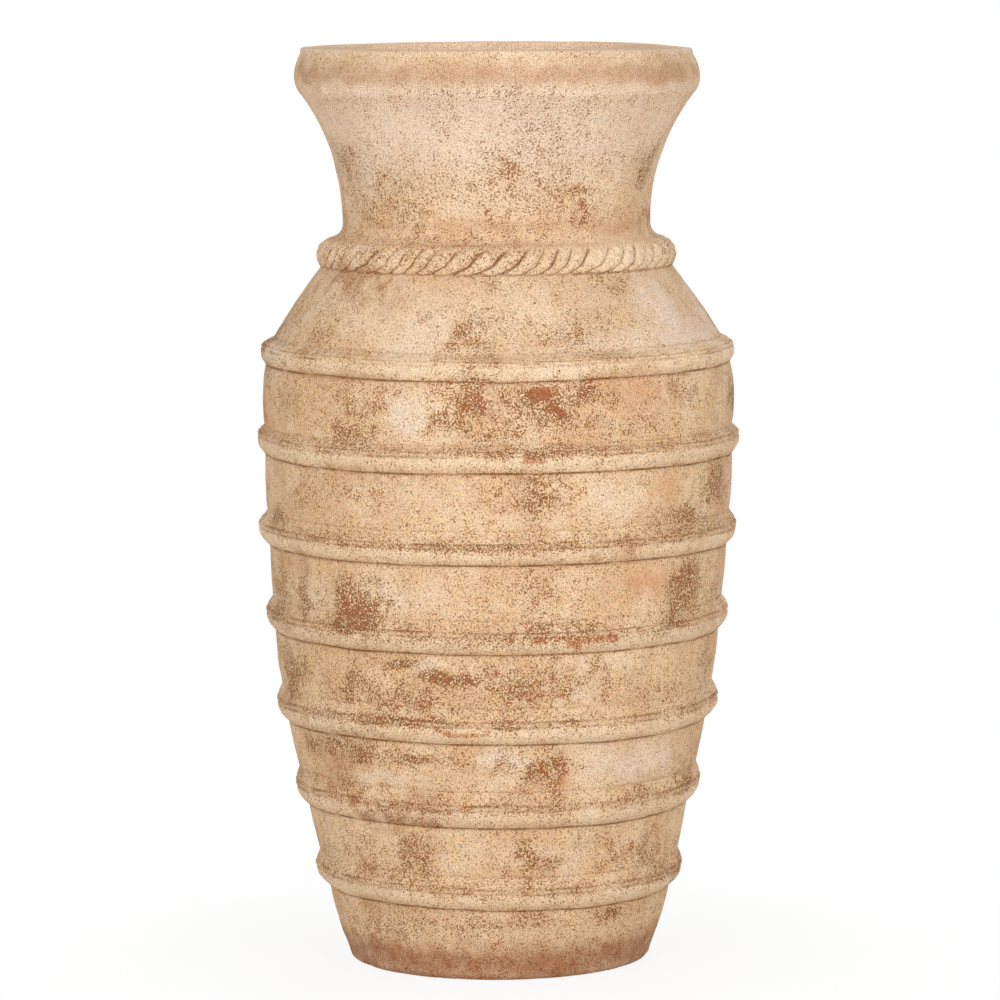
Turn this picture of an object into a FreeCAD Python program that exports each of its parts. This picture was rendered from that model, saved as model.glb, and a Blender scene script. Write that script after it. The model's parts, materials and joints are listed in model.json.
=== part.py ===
import FreeCAD, Part
import math
import os

# A large clay storage jar, built in rings from the foot up. Lengths are in millimetres,
# angles in degrees. The origin is the middle of the underside and +Z points up.
# Rings and strips are numbered from the foot up, in the order of building.

# Wall of every ring, and the V-shaped key of the seams between them
wall_thickness = 24.0
key_width = 10.0
key_depth = 6.0

# Floor slab, with its rounded outer edge
slab_thickness = 28.0
slab_radius = 149.4
slab_top_radius = 157.0
slab_edge_round = 8.0

# Coil that seals the corner of floor and wall inside
luting_coil_size = 20.0
luting_coil_hollow = 3.0

# Foot ring and the six body rings above it
foot_height = 58.5
body_height = 519.5
belly_radius = 232.8
seam_height_shares = (0.0, 0.16, 0.3195, 0.492, 0.656, 0.824, 1.0)
seam_radius_shares = (0.7465, 0.8265, 0.904, 0.951, 0.979, 0.9945, 0.9795)
wall_bulge = 3.2
foot_bulge_share = 0.25
wall_bulge_shares = (0.1, 0.15, 0.4, 0.1, 0.4, 1.0)

# Strips pressed over the body seams
band_width = 32.0
band_proud = 7.8
band_width_shares = (1.06, 1.14, 1.1, 1.0, 1.0, 0.82, 0.84)
band_proud_shares = (0.9, 0.97, 1.0, 0.88, 1.0, 0.82, 0.66)

# Shoulder ring, which narrows to a seam just outside the neck
shoulder_height = 93.0
shoulder_bulge = 0.8
neck_foot_spread = 12.0

# Neck ring: upright just above the cordon, then one flare up to the rim
neck_height = 158.0
neck_radius = 151.4
neck_land_height = 1.0
neck_flare_spread = 44.4

# Rim coil: heavy, rounded outside, flat on top
rim_height = 43.0
rim_proud = 3.3
rim_crest_share = 0.3
rim_top_inset = 8.5
rim_edge_round = 3.0
mouth_spread = 26.5
mouth_edge_round = 6.0

# Twisted cordon over the seam of shoulder and neck
cordon_diameter = 36.4
cordon_sink = 6.0
cordon_fillet_radius = 14.0
cordon_strands = 3
cordon_turns = 19
groove_depth = 3.2
groove_width = 9.0
groove_slant = 36.0
groove_facing = 18.0
groove_reach = 58.0

# How far a cutting shape runs past the surface that it cuts
overrun = 1.0

# How far a rounded corner's arc lies from its chord's middle towards the corner
round_share = 0.414


def point(radius, height):
    """A point of an outline, in the plane that is turned about the jar's axis."""
    return FreeCAD.Vector(radius, 0, height)


def between(start, end, share=0.5):
    return start + (end - start) * share


def direction(start, end):
    return (end - start).normalize()


def outward(start, end):
    """Unit vector square to the line from start up to end, on the jar's outer side."""
    along = direction(start, end)
    return FreeCAD.Vector(along.z, 0, -along.x)


def path(*points):
    """Straight edges from each point to the next."""
    return [Part.LineSegment(start, end).toShape() for start, end in zip(points, points[1:])]


def arc(start, middle, end):
    return [Part.Arc(start, middle, end).toShape()]


def bulged(start, end, bulge):
    """An arc that stands out from the straight line between its ends by bulge."""
    return arc(start, between(start, end) + outward(start, end) * bulge, end)


def rounded(start, corner, end):
    """An arc that rounds off the corner between start and end."""
    return arc(start, between(between(start, end), corner, round_share), end)


def on_flare(foot, end, height):
    """Point at a height on the arc that rises upright from foot and leans over to end."""
    spread = end.x - foot.x
    radius = (spread**2 + (end.z - foot.z) ** 2) / (2 * spread)
    reach = math.copysign(math.sqrt(radius**2 - (height - foot.z) ** 2), radius)
    return point(foot.x + radius - reach, height)


def flare(foot, end, low, high):
    """The stretch of that arc between two heights."""
    heights = (low, (low + high) / 2, high)
    return arc(*[on_flare(foot, end, height) for height in heights])


def turned(edges):
    """The ring that a closed outline makes when it turns once about the jar's axis."""
    wire = Part.Wire(Part.__sortEdges__(edges))
    return Part.Face(wire).revolve(FreeCAD.Vector(), FreeCAD.Vector(0, 0, 1), 360)


def keyed(inner, outer):
    """A level seam, with the V-shaped key that locks one ring into the next."""
    middle = between(inner, outer)
    half = FreeCAD.Vector(key_width / 2, 0, 0)
    tip = middle - FreeCAD.Vector(0, 0, key_depth)
    return path(inner, middle - half, tip, middle + half, outer)


def inner_of(below, seam, above):
    """Inside end of a level seam: the wall keeps its thickness where it leans."""
    lean = math.atan2(above.x - below.x, above.z - below.z)
    return point(seam.x - wall_thickness / math.cos(lean), seam.z)


# Outer ends of the seams, from the floor slab up to the neck
slab_top = point(slab_top_radius, slab_thickness)
body_start = slab_thickness + foot_height
body_seams = [
    point(belly_radius * radius_share, body_start + body_height * height_share)
    for radius_share, height_share in zip(seam_radius_shares, seam_height_shares)
]
body_top = body_seams[-1]
shoulder_top = point(neck_radius + neck_foot_spread, body_top.z + shoulder_height)
outer_line = [slab_top] + body_seams + [shoulder_top]

# Inner ends of the same seams
slab_top_inner = inner_of(slab_top, slab_top, body_seams[0])
body_inner = [
    inner_of(below, seam, above)
    for below, seam, above in zip(outer_line, outer_line[1:], outer_line[2:])
]
shoulder_top_inner = inner_of(body_top, shoulder_top, shoulder_top)

# Cordon: a round coil, pressed a little into the shoulder and drawn up onto the neck
cordon_radius = cordon_diameter / 2
cordon_centre = shoulder_top - outward(body_top, shoulder_top) * cordon_sink
cordon_half_seat = math.sqrt(cordon_radius**2 - cordon_sink**2)
cordon_low_edge = shoulder_top - direction(body_top, shoulder_top) * cordon_half_seat
fillet_x = neck_radius + cordon_fillet_radius
fillet_reach = cordon_radius + cordon_fillet_radius
fillet_rise = math.sqrt(fillet_reach**2 - (fillet_x - cordon_centre.x) ** 2)
fillet_centre = point(fillet_x, cordon_centre.z + fillet_rise)
cordon_top_edge = point(neck_radius, fillet_centre.z)

# Corner where the shoulder's slope, carried on upwards, meets the upright neck
shoulder_slope = shoulder_top - body_top
neck_corner = shoulder_top + shoulder_slope * (-neck_foot_spread / shoulder_slope.x)

# Neck and rim: both faces rise upright from the waist and flare outwards
waist_height = cordon_top_edge.z + neck_land_height
rim_start_height = shoulder_top.z + neck_height
jar_height = rim_start_height + rim_height
waist_outer = point(neck_radius, waist_height)
waist_inner = point(neck_radius - wall_thickness, waist_height)
rim_start_outer = point(neck_radius + neck_flare_spread, rim_start_height)
mouth_side = point(waist_inner.x + mouth_spread, jar_height - mouth_edge_round)
rim_start_inner = on_flare(waist_inner, mouth_side, rim_start_height)


def make_base_slab():
    edge_start = point(slab_radius - slab_edge_round, 0)
    edge_corner = point(slab_radius, 0)
    edge_end = point(slab_radius, slab_edge_round)
    top_middle = point(0, slab_thickness)
    return turned(
        path(top_middle, point(0, 0), edge_start)
        + rounded(edge_start, edge_corner, edge_end)
        + path(edge_end, slab_top)
        + keyed(slab_top_inner, slab_top)
        + path(slab_top_inner, top_middle)
    )


def make_luting_coil():
    corner = slab_top_inner
    on_floor = corner - FreeCAD.Vector(luting_coil_size, 0, 0)
    on_wall = corner + direction(corner, body_inner[0]) * luting_coil_size
    return turned(path(on_wall, corner, on_floor) + bulged(on_floor, on_wall, luting_coil_hollow))


def band_edges(number):
    """Lower and upper edge of a strip, on the straight lands beside its seam."""
    below, seam, above = outer_line[number : number + 3]
    reach = band_width * band_width_shares[number] / 2
    return seam + direction(seam, below) * reach, seam + direction(seam, above) * reach


def make_band(number):
    seam = body_seams[number]
    lower, upper = band_edges(number)
    crown = seam + outward(lower, upper) * (band_proud * band_proud_shares[number])
    return turned(arc(lower, crown, upper) + path(upper, seam, lower))


def make_foot_section():
    seam = body_seams[0]
    high_land = band_edges(0)[0]
    return turned(
        keyed(slab_top_inner, slab_top)
        + bulged(slab_top, high_land, wall_bulge * foot_bulge_share)
        + path(high_land, seam)
        + keyed(body_inner[0], seam)
        + path(body_inner[0], slab_top_inner)
    )


def make_wall_section(number):
    """A body ring between two seams: straight lands under the strips, and a belly."""
    low, high = body_seams[number : number + 2]
    low_inner, high_inner = body_inner[number : number + 2]
    low_land = band_edges(number)[1]
    high_land = band_edges(number + 1)[0]
    bulge = wall_bulge * wall_bulge_shares[number]
    return turned(
        keyed(low_inner, low)
        + path(low, low_land)
        + bulged(low_land, high_land, bulge)
        + path(high_land, high)
        + keyed(high_inner, high)
        + bulged(low_inner, high_inner, bulge)
    )


def make_shoulder_section():
    low_land = band_edges(len(body_seams) - 1)[1]
    return turned(
        keyed(body_inner[-1], body_top)
        + path(body_top, low_land)
        + bulged(low_land, cordon_low_edge, shoulder_bulge)
        + path(cordon_low_edge, shoulder_top)
        + keyed(shoulder_top_inner, shoulder_top)
        + path(shoulder_top_inner, body_inner[-1])
    )


def make_neck_section():
    return turned(
        keyed(shoulder_top_inner, shoulder_top)
        + path(shoulder_top, neck_corner, waist_outer)
        + flare(waist_outer, rim_start_outer, waist_height, rim_start_height)
        + keyed(rim_start_inner, rim_start_outer)
        + flare(waist_inner, mouth_side, waist_height, rim_start_height)
        + flare(waist_inner, shoulder_top_inner, shoulder_top.z, waist_height)
    )


def make_rim_coil():
    crest = point(rim_start_outer.x + rim_proud, rim_start_height + rim_height * rim_crest_share)
    lip = point(crest.x - rim_top_inset, jar_height - rim_edge_round)
    lip_top = point(lip.x - rim_edge_round, jar_height)
    mouth_top = point(mouth_side.x + mouth_edge_round, jar_height)
    return turned(
        keyed(rim_start_inner, rim_start_outer)
        + flare(crest, rim_start_outer, rim_start_height, crest.z)
        + flare(crest, lip, crest.z, lip.z)
        + rounded(lip, point(lip.x, jar_height), lip_top)
        + path(lip_top, mouth_top)
        + rounded(mouth_top, point(mouth_side.x, jar_height), mouth_side)
        + flare(waist_inner, mouth_side, rim_start_height, mouth_side.z)
    )


def groove_cutter():
    """V-shaped groove on a plane slanted across the coil, deepest in its middle."""
    facing = math.radians(groove_facing)
    slant = math.radians(groove_slant)
    reach = math.radians(groove_reach)
    out = FreeCAD.Vector(math.cos(facing), 0, math.sin(facing))
    up = FreeCAD.Vector(-math.sin(facing), 0, math.cos(facing))
    along = up * math.cos(slant) + FreeCAD.Vector(0, 1, 0) * math.sin(slant)
    across = out.cross(along)
    # The bottom is an arc from the coil's surface down to groove_depth and up again.
    drop = cordon_radius - groove_depth - cordon_radius * math.cos(reach)
    half_length = cordon_radius / math.cos(slant) * math.sin(reach)
    bottom_radius = (drop**2 + half_length**2) / (2 * drop)
    bottom = cordon_centre + out * (cordon_radius - groove_depth)
    hub = bottom - out * bottom_radius
    cut_depth = groove_depth + overrun
    half_width = groove_width / 2 * cut_depth / groove_depth
    top = bottom + out * cut_depth
    sides = [top - across * half_width, top + across * half_width]
    face = Part.Face(Part.makePolygon([bottom] + sides + [bottom]))
    sweep = math.degrees(math.asin(half_length / bottom_radius))
    face.rotate(hub, across, -sweep)
    return face.revolve(hub, across, 2 * sweep)


def make_rope_cordon():
    fillet_start = cordon_centre + direction(cordon_centre, fillet_centre) * cordon_radius
    fillet_chord = between(fillet_start, cordon_top_edge)
    fillet_middle = fillet_centre + direction(fillet_centre, fillet_chord) * cordon_fillet_radius
    coil = turned(
        arc(cordon_low_edge, cordon_centre + FreeCAD.Vector(cordon_radius, 0, 0), fillet_start)
        + arc(fillet_start, fillet_middle, cordon_top_edge)
        + path(cordon_top_edge, neck_corner, cordon_low_edge)
    )
    count = cordon_strands * cordon_turns
    cutters = []
    for number in range(count):
        cutter = groove_cutter()
        cutter.rotate(FreeCAD.Vector(), FreeCAD.Vector(0, 0, 1), 360 / count * number)
        cutters.append(cutter)
    return coil.cut(cutters)


pieces = {
    "base_slab": make_base_slab(),
    "floor_luting_coil": make_luting_coil(),
    "foot_section": make_foot_section(),
    "shoulder_section": make_shoulder_section(),
    "neck_section": make_neck_section(),
    "rim_coil": make_rim_coil(),
    "rope_cordon": make_rope_cordon(),
}
for number in range(len(body_seams) - 1):
    pieces[f"wall_section_{number + 1}"] = make_wall_section(number)
for number in range(len(body_seams)):
    pieces[f"band_{number + 1}"] = make_band(number)

os.makedirs("parts", exist_ok=True)
for name, shape in pieces.items():
    shape.exportStep(f"parts/{name}.step")
    print(f"{name}: {len(shape.Solids)} solid")
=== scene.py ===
# %% [markdown]
# # A coil-built storage jar in weathered clay
#
# The object is a pithos, a storage jar about 90 cm tall. It is too large to be thrown on a
# wheel in one go, so the potter raises it in rings from the foot up, lets each ring stiffen
# and lutes the next one onto it. A strip of clay is pressed over every seam, a twisted cordon
# covers the seam of shoulder and neck, and a heavy coil makes the rim.
#
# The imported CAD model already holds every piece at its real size. It is exact and smooth,
# which a hand-built jar never is. So this notebook measures the CAD pieces, builds each one
# again as a slightly uneven mesh in the same place, and gives it a weathered surface.

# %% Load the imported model
import json
import math

import bmesh
import bpy
import numpy as np
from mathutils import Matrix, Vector
from mathutils.bvhtree import BVHTree


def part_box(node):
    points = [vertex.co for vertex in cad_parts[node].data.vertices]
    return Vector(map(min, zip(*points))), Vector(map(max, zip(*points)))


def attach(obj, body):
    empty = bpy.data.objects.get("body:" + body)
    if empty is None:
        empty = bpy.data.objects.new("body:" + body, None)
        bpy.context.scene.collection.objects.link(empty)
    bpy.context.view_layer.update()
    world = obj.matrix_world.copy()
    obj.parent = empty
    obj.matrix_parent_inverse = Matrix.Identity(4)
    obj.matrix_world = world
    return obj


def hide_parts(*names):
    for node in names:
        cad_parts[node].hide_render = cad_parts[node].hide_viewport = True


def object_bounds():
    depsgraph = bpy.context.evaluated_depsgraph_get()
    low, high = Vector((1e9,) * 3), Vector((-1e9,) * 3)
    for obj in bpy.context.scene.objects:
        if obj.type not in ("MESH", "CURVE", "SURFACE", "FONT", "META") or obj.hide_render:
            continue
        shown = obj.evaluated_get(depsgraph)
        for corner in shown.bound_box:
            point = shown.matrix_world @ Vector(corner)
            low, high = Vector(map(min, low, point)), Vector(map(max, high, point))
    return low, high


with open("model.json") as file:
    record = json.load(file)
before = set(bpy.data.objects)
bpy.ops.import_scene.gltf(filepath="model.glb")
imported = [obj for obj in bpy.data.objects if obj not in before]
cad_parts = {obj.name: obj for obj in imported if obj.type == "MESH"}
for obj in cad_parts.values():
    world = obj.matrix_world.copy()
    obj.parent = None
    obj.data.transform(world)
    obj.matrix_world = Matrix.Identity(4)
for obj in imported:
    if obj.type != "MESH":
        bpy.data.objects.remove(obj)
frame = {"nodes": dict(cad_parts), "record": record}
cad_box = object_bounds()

print("pieces in the CAD model:", len(frame["nodes"]))

# %% [markdown]
# ## Units and directions
#
# Blender works in metres and potters in millimetres, so one name turns the second into the
# first. A place on the jar is given by its turn and its height: turn 0 is the front, which
# faces -Y, and turns grow towards +X, as they do for someone who stands in front of the jar
# and walks round it to the right.

# %% One millimetre, and the jar's size
MM = 0.001
jar_height = cad_box[1].z
belly_radius = max(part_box(f"wall_section_{number}")[1].x for number in range(1, 7))
print(f"the jar is {jar_height / MM:.0f} mm tall, its wall {2 * belly_radius / MM:.0f} mm across")

# %% [markdown]
# ## The camera
#
# The jar was photographed from a little above its rim with a long lens: the far edge of the
# rim shows as a thin strip and the sides of the jar hardly converge. A long lens far away is
# what gives that flat, calm view. The tilt of a quarter degree makes the jar lean as it does
# in the picture, where the floor isn't quite level.

# %% Camera on a long lens, a little above the rim
camera_distance = 5.5
camera_height = 1.0455
camera_side = 0.0054
look_down = math.radians(6.149)
lean = math.radians(0.27)

camera_data = bpy.data.cameras.new("studio_camera")
camera_data.lens = 201.9
camera_data.sensor_width = 36.0
camera_data.clip_end = 200.0
camera = bpy.data.objects.new("studio_camera", camera_data)
camera.location = (camera_side, -camera_distance, camera_height)
camera.rotation_euler = (math.pi / 2 - look_down, lean, 0)
bpy.context.scene.collection.objects.link(camera)
bpy.context.scene.camera = camera
print(f"camera {camera_distance} m away, looking down {math.degrees(look_down):.1f} degrees")

# %% [markdown]
# ## Measuring the CAD pieces
#
# The new meshes have to lie where the CAD pieces lie. Their outline could be typed in again,
# but then a change in the CAD model would be missed. It is better to measure it: a ray sent
# level towards the axis stops where it meets the outside of the wall, and a ray sent out from
# the axis stops at the inside. One ray per millimetre of height gives the whole outline.

# %% Feel a CAD piece with level rays
off_seam = math.radians(0.7)
ray_step = 1.0 * MM
ray_inset = 0.05 * MM


def feel(node, heights, from_axis=False):
    """Radius of a CAD node at each height: its outside, or its inside if felt from the axis."""
    mesh = frame["nodes"][node].data
    faces = [face.vertices for face in mesh.polygons]
    tree = BVHTree.FromPolygons([vertex.co for vertex in mesh.vertices], faces)
    away = Vector((math.cos(off_seam), math.sin(off_seam), 0))
    radii = []
    for height in heights:
        axis_point = Vector((0, 0, height))
        if from_axis:
            hit = tree.ray_cast(axis_point, away)[0]
        else:
            hit = tree.ray_cast(axis_point + away, -away)[0]
        radii.append(hit.to_2d().length)
    return np.array(radii)


# %% The wall from the floor slab to the lip
ring_names = ["foot_section"]
ring_names += [f"wall_section_{number}" for number in range(1, 7)]
ring_names += ["shoulder_section", "neck_section", "rim_coil"]
rim_edge_round = 3.0 * MM
mouth_edge_round = 6.0 * MM

ring_start = {}
ring_end = {}
wall_heights, wall_outside, wall_inside = [], [], []
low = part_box("base_slab")[1].z
for name in ring_names:
    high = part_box(name)[1].z
    ring_start[name], ring_end[name] = low, high
    if name == "rim_coil":
        high -= mouth_edge_round
    steps = round((high - low) / ray_step)
    heights = np.linspace(low + ray_inset, high - ray_inset, steps)
    wall_heights.extend(heights)
    wall_outside.extend(feel(name, heights))
    wall_inside.extend(feel(name, heights, from_axis=True))
    low = ring_end[name]
wall_heights = np.array(wall_heights)
wall_outside = np.array(wall_outside)
wall_inside = np.array(wall_inside)
print(f"{len(wall_heights)} levels felt, wall {wall_outside.min() / MM:.1f} to "
      f"{wall_outside.max() / MM:.1f} mm from the axis")

# %% [markdown]
# ## The potter's hand
#
# A jar built by hand is a little out of round, its wall has broad soft dents where the hand
# pressed, and the smoothing palm leaves fine ripples. Each of these is a random relief with a
# size of its own. A relief has to close on itself after one turn, so it is made of cosines
# with a whole number of waves round the jar. Forty of them with random leans and starts add up
# to a surface with no visible repeat, and the seed keeps it the same in every run.

# %% A random relief that closes on itself round the jar
def waves(seed, wavelength, count=40):
    """Returns a function of turn and height whose values wander about 0, mostly within 2."""
    draw = np.random.default_rng(seed)
    slant = draw.uniform(0, math.pi, count)
    pace = 2 * math.pi / (wavelength * draw.uniform(0.75, 1.35, count))
    waves_round = np.round(pace * np.cos(slant) * belly_radius)
    climb = pace * np.sin(slant)
    start = draw.uniform(0, 2 * math.pi, count)

    def relief(turn, height):
        total = np.zeros(np.broadcast(turn, height).shape)
        for around, upward, phase in zip(waves_round, climb, start):
            total += np.cos(around * turn + upward * height + phase)
        return total * math.sqrt(2 / count)

    return relief


# %% Reliefs of the outside and the inside
out_of_round = waves(1, 420 * MM)
palm_dents = waves(2, 75 * MM)
finger_dents = waves(3, 24 * MM)
skin = waves(4, 9 * MM)
inner_dents = waves(5, 60 * MM)
spiral_sway = waves(6, 200 * MM)

# How strong each relief is, in mm. The outside lies a little in on the whole, so that what
# stands off it stays within the CAD model.
outside_reliefs = [(0.25, out_of_round), (0.18, palm_dents), (0.09, finger_dents), (0.035, skin)]
outside_set_in = 0.4
inside_reliefs = [(0.25, out_of_round), (0.25, inner_dents)]
ridge_pitch = 13.0 * MM
ridge_height = 0.5
ridge_sway = 1.2

# The jar sagged a little as it dried. Its middle line bends by a millimetre or two to either
# side, its neck leans to the right, and its rings drew in by about one. Heights are in metres,
# the rest in mm.
sag_heights = [0.0, 0.09, 0.17, 0.25, 0.34, 0.43, 0.515, 0.605, 0.70, 0.78, 0.80, 0.85, 0.90]
bends = [0.0, 0.5, -1.2, -1.8, -1.1, 1.1, 1.7, 1.0, 0.0, 0.2, 1.4, 2.2, 1.6]
tucks = [0.0, -0.9, -1.2, -0.7, -0.7, -1.1, -1.1, -0.8, 0.0, 0.0, 0.0, -0.3, 0.0]


def outside_relief(turn, height):
    """How far the outside stands off its true radius, in metres."""
    relief = sum(size * shape(turn, height) for size, shape in outside_reliefs) - outside_set_in
    relief += np.interp(height, sag_heights, bends) * np.sin(turn)
    relief += np.interp(height, sag_heights, tucks)
    return relief * MM


def inside_relief(turn, height):
    """The inside keeps the spiral ridges of the fingers that drew each coil up."""
    sway = ridge_sway * spiral_sway(turn, height)
    relief = ridge_height * np.cos(2 * math.pi * height / ridge_pitch - turn + sway)
    relief += sum(size * shape(turn, height) for size, shape in inside_reliefs)
    return relief * MM


sample = outside_relief(np.linspace(0, 2 * math.pi, 400)[:, None], wall_heights[None, ::20])
print(f"the outside wanders by {np.ptp(sample) / MM:.2f} mm in all")

# %% [markdown]
# ## Turning an outline into a ring
#
# Every piece of the jar but the floor is a ring. In Blender a ring could be spun from a curve
# with the Screw modifier, but then every slice would be the same. Building the mesh as a grid
# allows every slice to differ: one direction goes round the jar, the other goes round the
# piece's own closed outline. All faces are four-sided and the grid closes both ways, so the
# mesh is watertight. Numbers that the material will need, such as how worn a place is, are
# stored beside the points as attributes.

# %% Ring and disc builder
pieces = {}
slices = 720
crisp_angle = math.radians(48)


def store(mesh, mark, values):
    """Keeps one number for each point of a mesh, for the material to read."""
    layer = mesh.attributes.new(mark, "FLOAT", "POINT")
    layer.data.foreach_set("value", values.astype(np.float32).ravel())


def all_round(row, count=slices):
    """One row of values, the same in every slice."""
    return np.broadcast_to(row, (count, len(row)))


def make_piece(name, turn, radius, height, marks, solid=False):
    """Mesh of a grid of points: rows go round the jar, columns along the piece's outline."""
    shape = np.broadcast(turn, radius, height).shape
    turn, radius, height = (np.broadcast_to(value, shape) for value in (turn, radius, height))
    points = np.stack([radius * np.sin(turn), -radius * np.cos(turn), height], axis=-1)
    index = np.arange(points.size // 3).reshape(shape)
    right = np.roll(index, -1, axis=0)
    columns = shape[1] - 1 if solid else shape[1]
    following = np.roll(index, -1, axis=1)
    right_following = np.roll(right, -1, axis=1)
    faces = np.stack([index, right, right_following, following], axis=-1)[:, :columns]
    mesh = bpy.data.meshes.new(name)
    mesh.from_pydata(points.reshape(-1, 3).tolist(), [], faces.reshape(-1, 4).tolist())
    for mark, value in marks.items():
        store(mesh, mark, np.broadcast_to(value, shape))
    piece = bpy.data.objects.new(name, mesh)
    bpy.context.scene.collection.objects.link(piece)
    pieces[name] = piece
    return piece


def finish_shape(piece, node):
    """Smooth shading with crisp joint edges, and the piece takes its CAD node's place."""
    piece.data.update()
    piece.data.shade_smooth()
    piece.data.set_sharp_from_angle(angle=crisp_angle)
    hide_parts(node)
    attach(piece, "root")
    print(f"{piece.name}: {len(piece.data.polygons)} faces")


turns = np.linspace(-math.pi, math.pi, slices, endpoint=False)[:, None]

# %% [markdown]
# ## Where the strips run
#
# The strips are laid by eye, so they rise and fall by some millimetres on the way round, and
# each in its own way. The edges are worked out before the walls, because painted shade and
# dirt darken the corner beside each strip, and the wall needs to know where that corner is.

# %% Edges of the seven strips
# How far each strip was laid above its level, in mm, at the left side, left front, front,
# right front and right side. The back passes smoothly from one side to the other.
lift_turns = np.radians([-90, -40, 0, 40, 90])
strip_lifts = {
    "band_7": [-1.5, -2.4, -4.0, -1.7, -0.5],
    "band_6": [2.5, -0.2, 0.5, 0.6, 1.0],
    "band_5": [3.4, 2.6, 3.0, 3.0, 2.0],
    "band_4": [3.0, 2.6, 1.7, 1.7, 3.0],
    "band_3": [4.0, 6.2, 5.0, 3.8, 6.8],
    "band_2": [4.5, 6.4, 4.2, 3.8, 7.8],
    "band_1": [5.0, 4.6, 3.0, 1.4, 4.5],
}
edge_ripple = 0.22 * MM
ripple_length = 70 * MM
smoothing_reach = 30
smoothing = np.hanning(2 * smoothing_reach + 1)
smoothing = smoothing / smoothing.sum()
edge_seed = 20
band_edge = {}


def edge_line(seed, level, lifts):
    """Height of a strip's edge at every slice."""
    lift = np.interp(turns[:, 0], lift_turns, lifts, period=2 * math.pi)
    overlapped = np.concatenate([lift[-smoothing_reach:], lift, lift[:smoothing_reach]])
    lift = np.convolve(overlapped, smoothing, mode="valid")[:, None] * MM
    return level + lift + edge_ripple * waves(seed, ripple_length)(turns, level)


for number, (name, lifts) in enumerate(strip_lifts.items()):
    low, high = (corner.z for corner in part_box(name))
    seed = edge_seed + 2 * number
    band_edge[name] = edge_line(seed, low, lifts), edge_line(seed + 1, high, lifts)
    furthest = max(abs(lift) for lift in lifts)
    print(f"{name}: {low / MM:.0f} to {high / MM:.0f} mm up, then laid {furthest} mm off at most")

# %% [markdown]
# ## The rings of the wall
#
# The foot, the six rings of the body, the shoulder and the neck are one kind of piece: an
# outer face, an inner face, and a level seam at each end. The seams carry the V-shaped key
# that locks one ring into the next. Neighbours share the same relief, so their edges meet
# exactly even though both are uneven.

# %% Where the two faces of the wall lie
def outer_radius(turn, height):
    return np.interp(height, wall_heights, wall_outside) + outside_relief(turn, height)


def inner_radius(turn, height):
    return np.interp(height, wall_heights, wall_inside) + inside_relief(turn, height)


half_way = jar_height / 2
thickness = outer_radius(0.0, half_way) - inner_radius(0.0, half_way)
print(f"half way up, the front of the wall is {float(thickness) / MM:.1f} mm thick")

# %% Painted shade and dirt in the corners beside the strips
# How far they reach from a strip's edge, and how much of them lies above a strip.
corner_reach = 1.4 * MM
upper_shade_and_dirt = 0.35


def corner_shade_and_dirt(height):
    """Share of painted shade and dirt at a height: 1 in the corner below a strip, fading with distance.
    """
    shade_and_dirt = np.zeros(np.broadcast(turns, height).shape)
    for low_line, high_line in band_edge.values():
        for line, full in ((low_line, 1.0), (high_line, upper_shade_and_dirt)):
            shade_and_dirt = np.maximum(shade_and_dirt, full * np.exp(-(((height - line) / corner_reach) ** 2)))
    return shade_and_dirt


# %% One ring of the wall
key_shares = np.array([0.29, 0.5, 0.71])
key_depths = np.array([0.0, 6.0, 0.0]) * MM
outer_row = 2.1 * MM
inner_row = 4.2 * MM


def seam_points(from_radius, to_radius, level):
    """Points across a level seam, with the key's tip in the middle of the wall."""
    radius = from_radius + (to_radius - from_radius) * key_shares
    return radius, np.broadcast_to(level - key_depths, radius.shape)


def make_ring(name):
    """One ring, with its outside washed, and painted shade and dirt in the corners beside the strips."""
    low, high = ring_start[name], ring_end[name]
    up = np.linspace(low, high, math.ceil((high - low) / outer_row) + 1)
    down = np.linspace(high, low, math.ceil((high - low) / inner_row) + 1)
    outside, inside = outer_radius(turns, up), inner_radius(turns, down)
    top_radius, top_height = seam_points(outside[:, -1:], inside[:, :1], high)
    low_radius, low_height = seam_points(inside[:, -1:], outside[:, :1], low)
    radius = np.hstack([outside, top_radius, inside, low_radius])
    height = np.hstack([all_round(up), top_height, all_round(down), low_height])
    washed = np.zeros(radius.shape)
    washed[:, : len(up)] = 1.0
    # Painted shade and dirt darken the outside beside the strips.
    shade_and_dirt = np.where(washed > 0, corner_shade_and_dirt(height), 0.0)
    piece = make_piece(name, turns, radius, height, {"washed": washed, "painted_shade_and_dirt": shade_and_dirt})
    finish_shape(piece, name)


for name in ring_names[:-1]:
    make_ring(name)

# %% [markdown]
# ## The rim
#
# The rim is one heavy coil, beaten flat on top. Its outline climbs the outside, rounds the lip
# tightly, crosses the flat top, rounds the mouth more softly and goes down the inside. The lip
# is where a jar gets knocked, so small chips are taken out of that edge. The weight of the
# wet coil made the lip droop a little at the sides and the back, most of all on the right. The
# brush with the wash went over the lip and thinly into the mouth.

# %% Outline of the rim
rim_row = 1.6 * MM
rim_inner_row = 3 * rim_row


def corner_arc(count):
    """Sine and cosine along a quarter turn, for rounding an edge."""
    swing = np.linspace(0, math.pi / 2, count + 2)[1:-1]
    return np.sin(swing), np.cos(swing)


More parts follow.
